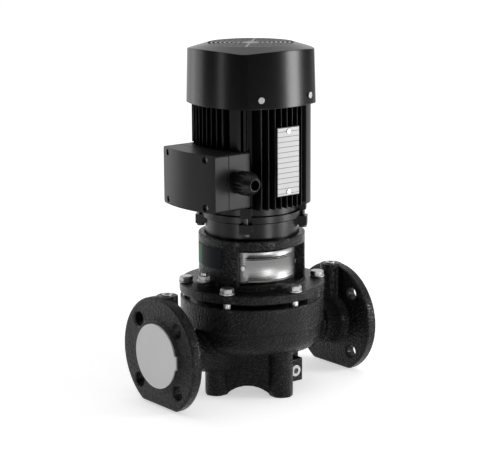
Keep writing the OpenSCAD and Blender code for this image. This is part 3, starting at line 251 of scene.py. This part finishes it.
def cast_piece(name, material, voxel, share, *nodes):
    """CAD nodes that are cast in one, with the rounded edges and uneven faces of a casting."""
    mesh = bpy.data.meshes.new(name)
    shape = bmesh.new()
    for node in nodes:
        shape.from_mesh(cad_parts[node].data)
    bmesh.ops.remove_doubles(shape, verts=shape.verts, dist=1e-6)
    shape.to_mesh(mesh)
    shape.free()
    piece = show(name, mesh)
    remesh = piece.modifiers.new("skin", "REMESH")
    remesh.mode = "VOXEL"
    remesh.voxel_size = voxel
    remesh.use_smooth_shade = True
    soften = piece.modifiers.new("soften", "SMOOTH")
    soften.factor = 0.5
    soften.iterations = 3
    thin = piece.modifiers.new("thin", "DECIMATE")
    thin.ratio = share
    piece.data = bpy.data.meshes.new_from_object(piece.evaluated_get(bpy.context.evaluated_depsgraph_get()))
    piece.modifiers.clear()
    piece.data.materials.clear()
    piece.data.materials.append(material)
    piece.data.polygons.foreach_set("use_smooth", [True] * len(piece.data.polygons))
    return piece


iron_paint = cast_iron_paint()
for name, voxel, share, nodes in (
        ("volute_casing", 0.0017, 0.55, ("pump_casing", "inlet_flange", "outlet_flange")),
        ("lantern_stool", 0.0013, 0.6, ("motor_stool",))):
    casting = cast_piece(name, iron_paint, voxel, share, *nodes)
    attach(casting, "stator")
    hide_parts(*nodes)


def dress(material, *nodes):
    """Gives CAD nodes whose shape is right their finish."""
    for node in nodes:
        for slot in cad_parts[node].material_slots:
            slot.material = material


dress(iron_paint, "pump_casing", "inlet_flange", "outlet_flange", "motor_stool")


# Head bolts
# Six forged hexagon bolts hold the stool down. Their heads are chamfered, and each sits on a pressed washer.
# They are zinc plated: bright grey with a faint bluish bloom.
def zinc():
    material, place = begin_material("zinc")
    bloom = place.noise(0.004, 3)
    colour = bloom.blend((0.32, 0.32, 0.33), (0.56, 0.56, 0.57))
    return end_material(material, place, colour, bloom * 0.2 + 0.24, place.noise(0.0006), 0.0001,
                        rounding=0.0004, Metallic=1.0)


def add_turned(shape, profile, sides=48, limit=None):
    """Adds a body turned about Z from (radius, height) points, cut back at each angle to limit(angle)."""
    rings = []
    for radius, height in profile:
        ring = []
        for k in range(sides if radius else 1):
            angle = 2 * math.pi * k / sides
            reach = min(radius, limit(angle)) if limit else radius
            ring.append(shape.verts.new((reach * math.cos(angle), reach * math.sin(angle), height)))
        rings.append(ring)
    for low, high in zip(rings, rings[1:]):
        for k in range(sides):
            corners = (low[k % len(low)], low[(k + 1) % len(low)],
                       high[(k + 1) % len(high)], high[k % len(high)])
            shape.faces.new(list(dict.fromkeys(corners)))


def hexagon(flats):
    """The reach of a hexagon across flats, by angle."""
    return lambda angle: flats / 2 / math.cos(angle % (math.pi / 3) - math.pi / 6)


def finish_mesh(shape, name, crease=32):
    """Turns a bmesh into a mesh with outward normals, smooth but for edges sharper than crease degrees."""
    bmesh.ops.remove_doubles(shape, verts=shape.verts, dist=1e-7)
    bmesh.ops.recalc_face_normals(shape, faces=shape.faces)
    mesh = bpy.data.meshes.new(name)
    shape.to_mesh(mesh)
    shape.free()
    mesh.polygons.foreach_set("use_smooth", [True] * len(mesh.polygons))
    mesh.set_sharp_from_angle(angle=math.radians(crease))
    return mesh


def begin_pattern(name, **inputs):
    """An empty Geometry Nodes tree with these named inputs, and a wire from each of them."""
    tree = bpy.data.node_groups.new(name, "GeometryNodeTree")
    tree.interface.new_socket("Geometry", in_out="OUTPUT", socket_type="NodeSocketGeometry")
    for key, kind in inputs.items():
        tree.interface.new_socket(key.replace("_", " "), in_out="INPUT", socket_type="NodeSocket" + kind)
    entry = tree.nodes.new("NodeGroupInput")
    return tree, [Wire(tree, entry.outputs[key.replace("_", " ")]) for key in inputs]


def end_pattern(geometry, material):
    """Makes real geometry of the pattern's copies and gives it its material."""
    real = geometry.make("GeometryNodeRealizeInstances", {0: geometry})
    painted = geometry.make("GeometryNodeSetMaterial", {"Geometry": real, "Material": material})
    geometry.make("NodeGroupOutput", {0: painted})


def grow(tree, name, **values):
    """Runs a pattern's tree with these values and returns the piece. It is lent the meshes among them."""
    piece = show(name, bpy.data.meshes.new(name))
    modifier = piece.modifiers.new("pattern", "NODES")
    modifier.node_group = tree
    lent = []
    for item in tree.interface.items_tree:
        key = item.name.replace(" ", "_")
        if key in values:
            value = values[key]
            if isinstance(value, bpy.types.Mesh):
                lent.append(bpy.data.objects.new(value.name, value))
                value = lent[-1]
            modifier[item.identifier] = value
    piece.data = bpy.data.meshes.new_from_object(piece.evaluated_get(bpy.context.evaluated_depsgraph_get()))
    piece.data.name = name
    piece.modifiers.clear()
    for helper in lent:
        bpy.data.objects.remove(helper)
    return piece


def ring_tree(name, material):
    """Count copies of a part on a circle about Z, the first at an angle, each turned with its place."""
    tree, (part, count, radius, first, height) = begin_pattern(
        name, Part="Object", Count="Int", Radius="Float", First_angle="Float", Height="Float")
    index = part.make("GeometryNodeInputIndex")
    angle = index * (2 * math.pi / count) + first
    spot = part.make("ShaderNodeCombineXYZ",
                     {0: angle.maths("COSINE") * radius, 1: angle.maths("SINE") * radius, 2: height})
    points = part.make("GeometryNodePoints", {"Count": count, "Position": spot})
    shape = part.make("GeometryNodeObjectInfo", {"Object": part}, output="Geometry")
    turn = part.make("ShaderNodeCombineXYZ", {2: angle})
    copies = part.make("GeometryNodeInstanceOnPoints",
                       {"Points": points, "Instance": shape, "Rotation": turn})
    end_pattern(copies, material)
    return tree


def hexagon_bolt(flats, head, washer, shank, length):
    """A chamfered hexagon head on a washer that lies on z = 0, with the shank below."""
    shape = bmesh.new()
    add_turned(shape, [(0, -length), (shank, -length), (shank, 0), (0, 0)], 24)
    add_turned(shape, [(0, 0), (flats * 0.6, 0), (flats * 0.62, washer * 0.2), (flats * 0.62, washer * 0.8),
                       (flats * 0.6, washer), (0, washer)])
    top = washer + head
    add_turned(shape, [(0, washer), (flats * 0.53, washer), (flats, washer + head * 0.06),
                       (flats * 0.6, top - head * 0.3), (flats * 0.56, top - head * 0.2),
                       (flats * 0.52, top - head * 0.1), (flats * 0.48, top - head * 0.03),
                       (flats * 0.44, top), (0, top)], 48, hexagon(flats))
    return finish_mesh(shape, "hexagon_bolt")


zinc_plate = zinc()
bolt_circle, plate_top = 0.095, 0.158
head_bolt = hexagon_bolt(flats=0.017, head=0.007, washer=0.0018, shank=0.005, length=0.040)
bolts = grow(ring_tree("bolt_ring", zinc_plate), "stool_bolts", Part=head_bolt, Count=6, Radius=bolt_circle,
             First_angle=math.radians(30), Height=plate_top)
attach(bolts, "stator")
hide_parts("head_bolts")


# Plugs and screws
# Screwed plugs close the drain, the vent and the gauge bosses, and machine screws hold the guards, the motor,
# its cover and the box lid. They are zinc plated as the bolts are. So are the impeller's nut, the spring of the
# shaft seal and the clip of the fan.
dress(zinc_plate, "drain_plug", "gauge_plugs", "guard_screws", "vent_plug", "impeller_nut", "seal_spring",
      "motor_screws", "cover_screws", "lid_screws", "fan_clip")


# Port covers
# Loose lids of pale moulded plastic that keep dirt out of the ports until the pump is piped in. A collar
# inside the bore holds each of them.
def pale_plastic():
    material, place = begin_material("pale_plastic")
    cloud = place.noise(0.02)
    colour = cloud.blend((0.78, 0.77, 0.78), (0.82, 0.81, 0.82))
    return end_material(material, place, colour, cloud * 0.1 + 0.4, place.noise(0.0015), 0.00008,
                        rounding=0.0006)


dress(pale_plastic(), "inlet_cover", "outlet_cover")


# Window guards
# Stainless sheet, brushed along its length and rolled to the lantern. Two beads stiffen each guard and run
# out before its ends, which are screwed to the window's jambs.
def brushed_steel():
    material, place = begin_material("brushed_steel")
    brush = place.noise(0.0008, stretch=(40, 40, 1))
    colour = brush.blend((0.15, 0.15, 0.15), (0.23, 0.23, 0.227))
    return end_material(material, place, colour, brush * 0.08 + 0.24, brush, 0.00002, Metallic=1.0,
                        Anisotropic=0.9)


guard_radius, guard_thick, guard_lip = 0.0605, 0.0012, 0.0004
guard_low, guard_high = (corner.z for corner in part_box("front_guard"))
guard_start, guard_span, guard_columns = -151, 108, 64
bead_heights, bead_out, bead_width, bead_rows = (0.1680, 0.2010), 0.0014, 0.0040, 8
plain_columns, fade_columns = 8, 3


def guard_sheet(name, start):
    """A rolled sheet from the angle start on, with both beads pressed outwards."""
    profile = [(0.0, guard_low), (0.0, guard_low + guard_lip)]
    for middle in bead_heights:
        for k in range(bead_rows + 1):
            along = k / bead_rows * 2 - 1
            profile.append((bead_out * (1 + math.cos(math.pi * along)) / 2, middle + along * bead_width / 2))
    profile += [(0.0, guard_high - guard_lip), (0.0, guard_high)]
    shape = bmesh.new()
    skins = []
    for skin in (guard_radius, guard_radius + guard_thick):
        rows = []
        for k in range(guard_columns + 1):
            angle = math.radians(start + guard_span * k / guard_columns)
            fade = min(1.0, max(0.0, (min(k, guard_columns - k) - plain_columns) / fade_columns))
            rows.append([shape.verts.new(((skin + out * fade) * math.cos(angle),
                                          (skin + out * fade) * math.sin(angle), z)) for out, z in profile])
        skins.append(rows)
    inner, outer = skins
    last = len(profile) - 1
    for k in range(guard_columns):
        for i in range(last):
            shape.faces.new((outer[k][i], outer[k + 1][i], outer[k + 1][i + 1], outer[k][i + 1]))
            shape.faces.new((inner[k][i], inner[k][i + 1], inner[k + 1][i + 1], inner[k + 1][i]))
        for i in (0, last):
            shape.faces.new((inner[k][i], inner[k + 1][i], outer[k + 1][i], outer[k][i]))
    for k in (0, guard_columns):
        for i in range(last):
            shape.faces.new((inner[k][i], inner[k][i + 1], outer[k][i + 1], outer[k][i]))
    return finish_mesh(shape, name, 50)


guard_steel = brushed_steel()
for name, node, turn in (("front_sheet", "front_guard", 0), ("rear_sheet", "rear_guard", 180)):
    guard = show(name, guard_sheet(name, guard_start + turn))
    guard.data.materials.append(guard_steel)
    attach(guard, "stator")
    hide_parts(node)


# Label
# A plain vinyl label is stuck round the stool beside the front window, a green band next to a dark panel.
# The film has a soft, uneven gloss.
def vinyl(name, colour):
    material, place = begin_material(name)
    tone = place.noise(0.01).blend(tuple(part * 0.85 for part in colour), colour)
    return end_material(material, place, tone, place.noise(0.004) * 0.15 + 0.3, place.noise(0.003), 0.00005,
                        Specular_IOR_Level=0.08)


dress(vinyl("vinyl_green", (0.004, 0.16, 0.05)), "label_band")
dress(vinyl("vinyl_dark", (0.004, 0.006, 0.009)), "label_panel")


# Shaft line, bearings and windings
# Ground steel shafts turn in two ball bearings. They carry a pressed stainless impeller, a clamped iron
# coupling, a mechanical seal and a laminated rotor inside a wound stator, whose leads end on brass studs.
def turned_metal(name, dark, light, roughness, ring=0.0005):
    """Metal with fine turning marks that lie square to the shaft."""
    material, place = begin_material(name)
    marks = place.noise(ring, stretch=(200, 200, 1))
    return end_material(material, place, marks.blend(dark, light), marks * 0.15 + roughness, marks, 0.00004,
                        rounding=0.0006, Metallic=1.0)


dress(turned_metal("ground_steel", (0.50, 0.50, 0.51), (0.66, 0.66, 0.66), 0.18), "pump_shaft", "motor_shaft")
dress(turned_metal("stainless", (0.44, 0.44, 0.43), (0.60, 0.60, 0.58), 0.25), "impeller")
dress(turned_metal("coupling_iron", (0.09, 0.09, 0.10), (0.17, 0.17, 0.18), 0.40),
      "coupling_front", "coupling_rear")
dress(turned_metal("black_steel", 0.03, 0.07, 0.40), "coupling_screws", "tie_bolts")
dress(turned_metal("bearing_steel", (0.62, 0.62, 0.63), (0.74, 0.74, 0.74), 0.10),
      "de_outer_ring", "de_inner_ring", "de_balls", "nde_outer_ring", "nde_inner_ring", "nde_balls")
dress(turned_metal("bronze", (0.40, 0.22, 0.08), (0.56, 0.34, 0.14), 0.28), "wear_ring")
dress(turned_metal("brass", (0.58, 0.42, 0.14), (0.72, 0.55, 0.22), 0.22), "terminal_studs")
dress(turned_metal("lamination", (0.16, 0.16, 0.18), (0.28, 0.28, 0.30), 0.42, 0.001),
      "rotor_core", "stator_core")
dress(turned_metal("die_cast", 0.55, 0.68, 0.40), "rotor_end_rings")
dress(turned_metal("winding_copper", (0.30, 0.10, 0.04), (0.48, 0.18, 0.07), 0.30, 0.0012), "stator_windings")


def moulded(name, dark, light, roughness, **fixed):
    """Moulded plastic, rubber or ceramic with a fine grain from its tool."""
    material, place = begin_material(name)
    skin = place.noise(0.0008)
    colour = place.noise(0.02, 3).blend(dark, light)
    return end_material(material, place, colour, skin * 0.12 + roughness, skin, 0.00008,
                        rounding=0.0006, **fixed)


dress(moulded("ceramic", (0.70, 0.68, 0.60), (0.80, 0.78, 0.70), 0.20), "seal_seat")
dress(moulded("carbon", 0.02, 0.04, 0.35), "seal_face")
dress(moulded("rubber", 0.012, 0.025, 0.60), "seal_sleeve", "casing_o_ring", "box_gasket", "gland_seal")
dress(moulded("bakelite", (0.10, 0.05, 0.03), (0.16, 0.08, 0.05), 0.35), "terminal_block")
dress(moulded("fan_plastic", 0.02, 0.035, 0.45), "fan")


# Gland nut
# A moulded nut with finger ribs and a domed end, screwed on the gland body, squeezes the seal round the
# cable. Both are black nylon with a soft gloss.
gland_plastic = moulded("gland_plastic", 0.004, 0.008, 0.30, Specular_IOR_Level=0.22)
dress(gland_plastic, "gland_body")
grip_radius, grip_bore, grip_mouth = 0.0165, 0.0117, 0.0069
grip_edge, grip_end, grip_length = 0.0158, 0.0160, 0.0280
rib_count, rib_depth = 18, 0.0013


def ribbed(radius, depth, ribs):
    """The reach of a ribbed grip by angle: flat crests, with round grooves between them."""
    return lambda angle: radius - depth * max(0.0, math.cos(ribs * angle)) ** 0.7


nut = bmesh.new()
add_turned(nut, [(grip_bore, 0), (grip_edge, 0), (grip_radius, 0.0008), (grip_radius, grip_end),
                 (grip_edge, 0.0172), (0.0146, 0.0196), (0.0130, 0.0226), (0.0110, 0.0254), (0.0094, 0.0272),
                 (0.0086, 0.0279), (0.0080, grip_length), (0.0072, 0.0276), (grip_mouth, 0.0268),
                 (grip_mouth, 0.0172), (grip_bore, 0.0166), (grip_bore, 0)],
           rib_count * 8, ribbed(grip_radius, rib_depth, rib_count))
nut_mesh = finish_mesh(nut, "nut", 40)
gland_low, gland_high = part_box("gland_body")
gland_axis = (gland_low + gland_high) / 2
nut_seat = Vector((gland_axis.x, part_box("gland_nut")[1].y, gland_axis.z))
nut_mesh.transform(Matrix.Translation(nut_seat) @ Matrix.Rotation(math.pi / 2, 4, "X"))
nut_mesh.materials.append(gland_plastic)
grip = show("gland_grip", nut_mesh)
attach(grip, "stator")
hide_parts("gland_nut")


# Motor shields
# Die-cast aluminium shields close the motor at both ends. They and the frame are sprayed satin black: the
# paint is smooth, with the faint peel of a sprayed coat.
def satin_paint(name, base, roughness, peel=0.004, depth=0.00006, rounding=0.0008):
    material, place = begin_material(name)
    dust = place.noise(0.0007)
    colour = place.noise(0.05, 3).blend(base * 0.8, base)
    return end_material(material, place, colour, dust * 0.1 + roughness, place.noise(peel), depth,
                        rounding=rounding, Specular_IOR_Level=0.24)


motor_paint = satin_paint("motor_paint", 0.004, 0.26)
dress(motor_paint, "drive_end_shield", "motor_frame", "non_drive_shield")


# Motor frame
# A die-cast aluminium barrel with cooling fins in four groups, a wide strip and a rib by each corner, and a
# pad for the name plate. The fins are drawn from the die, so they thin towards a rounded edge.
frame_low, frame_high = (corner.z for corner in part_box("motor_frame"))
fin_foot, fin_pitch, fins_a_side = 0.011, 0.0098, 8
fins_low = frame_low + fin_foot
barrel_bore, barrel_r, barrel_edge, barrel_sides = 0.060, 0.066, 0.0005, 120
face_reach, corner_reach, corner_cut = 0.079, 0.084, 0.0015
half_face = (corner_reach + corner_cut) * math.cos(math.pi / 4)
frame_bow = (half_face ** 2 + (face_reach - half_face) ** 2) / (2 * (face_reach - half_face))
box_corner, box_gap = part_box("terminal_box")[1], 0.0006
box_back, box_top = box_corner.x, box_corner.z + box_gap
ear_width, ear_height, ear_reach = 0.015, 0.014, 0.078
rib_width, strip_width, strip_turn = 0.003, 0.016, 9
bar_foot, bar_start, bar_end, bar_step, bar_columns = 0.0605, 0.061, 0.09, 0.0001, 8
pad_margin, pad_back = 0.001, -0.058


def frame_reach(x, y):
    """True inside the outline of the fins: a circle cut by four slightly bowed faces."""
    if math.hypot(x, y) > corner_reach:
        return False
    bowed = [face_reach - frame_bow + math.sqrt(frame_bow ** 2 - across ** 2) for across in (y, x)]
    return abs(x) <= bowed[0] and abs(y) <= bowed[1]


def add_walls(shape, outline, low, high):
    """Adds the upright walls over an outline, and returns the corners of its lower and its upper ring."""
    rings = [[shape.verts.new((x, y, z)) for x, y in outline] for z in (low, high)]
    for k in range(len(outline)):
        n = (k + 1) % len(outline)
        shape.faces.new((rings[0][k], rings[0][n], rings[1][n], rings[1][k]))
    return rings


def add_bar(shape, angle, width, low, high, clear=lambda x, y: True, out=None):
    """Adds an upright bar from the barrel out to the radius out, or else as far as the fins' outline goes."""
    a = math.radians(angle)
    inner, outer = [], []
    for k in range(bar_columns + 1):
        off = width * (k / bar_columns - 0.5)
        reach = bar_start
        while reach < (out or bar_end):
            x, y = reach * math.cos(a) - off * math.sin(a), reach * math.sin(a) + off * math.cos(a)
            if not (clear(x, y) and (out or frame_reach(x, y))):
                break
            reach += bar_step
        for row, r in ((inner, bar_foot), (outer, reach)):
            row.append((r * math.cos(a) - off * math.sin(a), r * math.sin(a) + off * math.cos(a)))
    bottom, top = add_walls(shape, outer + inner[::-1], low, high)
    for ring, flip in ((bottom, True), (top, False)):
        for k in range(bar_columns):
            corners = [ring[k], ring[k + 1], ring[-k - 2], ring[-k - 1]]
            shape.faces.new(corners[::-1] if flip else corners)


def add_box(shape, low, high):
    """Adds a plain block between two corners."""
    for vert in bmesh.ops.create_cube(shape, size=1)["verts"]:
        vert.co = [l + (h - l) * (c + 0.5) for l, h, c in zip(low, high, vert.co)]


def barrel_mesh():
    """The barrel with an ear, a rib and a strip by each corner, and the name plate's pad."""
    shape = bmesh.new()
    add_turned(shape, [(barrel_bore, frame_low), (barrel_r - barrel_edge, frame_low),
                       (barrel_r, frame_low + barrel_edge), (barrel_r, frame_high - barrel_edge),
                       (barrel_r - barrel_edge, frame_high), (barrel_bore, frame_high),
                       (barrel_bore, frame_low)], barrel_sides)
    for corner in (45, 135, 225, 315):
        add_bar(shape, corner, ear_width, frame_low, frame_low + ear_height, out=ear_reach)
        for angle, width in ((corner, rib_width), (corner - strip_turn, strip_width)):
            beside_box = 90 < angle < 270
            add_bar(shape, angle, width, box_top if beside_box else fins_low, frame_high)
            if beside_box and angle == corner:
                add_bar(shape, angle, width, fins_low, box_top, lambda x, y: x > box_back)
    plate_low, plate_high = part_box("name_plate")
    add_box(shape, (plate_low.x - pad_margin, -face_reach, plate_low.z - pad_margin),
            (plate_high.x + pad_margin, pad_back, plate_high.z + pad_margin))
    return finish_mesh(shape, "barrel", 35)


def fin_shape(root, tip):
    """A fin of unit reach along X and unit height, thin towards a rounded edge."""
    half = [(0.0, root / 2), (0.88, tip / 2), (0.96, tip * 0.42), (0.99, tip * 0.25)]
    shape = bmesh.new()
    bottom, top = add_walls(shape, half + [(1.0, 0.0)] + [(x, -y) for x, y in reversed(half)], 0.0, 1.0)
    shape.faces.new(bottom[::-1])
    shape.faces.new(top)
    return finish_mesh(shape, "fin", 40)


def fin_tree(name, material):
    """Rows of fins on four sides of a barrel, out to the bowed faces. On the short side they start higher."""
    tree, sizes = begin_pattern(
        name, Part="Object", Count="Int", First="Int", Pitch="Float", Barrel="Float", Face="Float",
        Bow="Float", Corner="Float", Low="Float", High="Float", Short_side="Int", Short_low="Float")
    part, count, first, pitch, barrel, face, bow, corner, low, high, short_side, short_low = sizes
    index = part.make("GeometryNodeInputIndex")
    side = (index / count).maths("FLOOR")
    across = (index - side * count + first) * pitch
    square = across * across
    bowed = (bow * bow - square).maths("SQRT") + face - bow
    reach = bowed.maths("MINIMUM", (corner * corner - square).maths("SQRT"))
    root = (barrel * barrel - square).maths("SQRT")
    is_short = part.make("ShaderNodeMath", {0: side, 1: short_side, 2: 0.5}, operation="COMPARE")
    foot = low + is_short * (short_low - low)
    angle = side * (math.pi / 2)
    cosine, sine = angle.maths("COSINE"), angle.maths("SINE")
    spot = part.make("ShaderNodeCombineXYZ",
                     {0: root * cosine - across * sine, 1: root * sine + across * cosine, 2: foot})
    points = part.make("GeometryNodePoints", {"Count": count * 4, "Position": spot})
    shape = part.make("GeometryNodeObjectInfo", {"Object": part}, output="Geometry")
    turn = part.make("ShaderNodeCombineXYZ", {2: angle})
    size = part.make("ShaderNodeCombineXYZ", {0: reach - root, 1: 1.0, 2: high - foot})
    copies = part.make("GeometryNodeInstanceOnPoints",
                       {"Points": points, "Instance": shape, "Rotation": turn, "Scale": size})
    end_pattern(copies, material)
    return tree


fin = fin_shape(root=0.0024, tip=0.0015)
fins = grow(fin_tree("fin_rows", motor_paint), "frame_fins", Part=fin, Count=fins_a_side, First=-4,
            Pitch=fin_pitch, Barrel=0.0652, Face=face_reach, Bow=frame_bow, Corner=corner_reach, Low=fins_low,
            High=frame_high, Short_side=2, Short_low=box_top)
barrel = show("frame_barrel", barrel_mesh())
barrel.data.materials.append(motor_paint)
for piece in (fins, barrel):
    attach(piece, "stator")
    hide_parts("motor_frame")


# Fan cover and terminal box
# The cover is deep-drawn sheet over the fan, glossier than the castings and with wider rounded edges. The
# box and its lid are moulded with a fine grain and stand on the frame's inlet side.
dress(satin_paint("cover_paint", 0.003, 0.20, rounding=0.0018), "fan_cover")
dress(satin_paint("box_paint", 0.006, 0.36, peel=0.0015, depth=0.00008), "terminal_box", "terminal_lid")


# Name plate
# Anodised aluminium with plain ruled fields, brushed across. Two drive rivets hold it on the pad at the
# front of the frame.
def plate_aluminium(name, rule_pitch):
    material, place = begin_material(name)
    brush = place.noise(0.0006, stretch=(30, 1, 1))
    height = place.make("ShaderNodeSeparateXYZ", {0: place}, output=2) / rule_pitch
    rules = height.maths("FRACT").steps(0.80, 0.92)
    colour = rules.blend(brush.blend(0.38, 0.44), 0.14)
    return end_material(material, place, colour, brush * 0.15 + 0.45, brush, 0.00004,
                        rounding=0.0003, Metallic=0.2)


dress(plate_aluminium("plate_aluminium", rule_pitch=0.0072), "name_plate")
dress(turned_metal("rivet_aluminium", 0.40, 0.55, 0.25), "name_rivets")
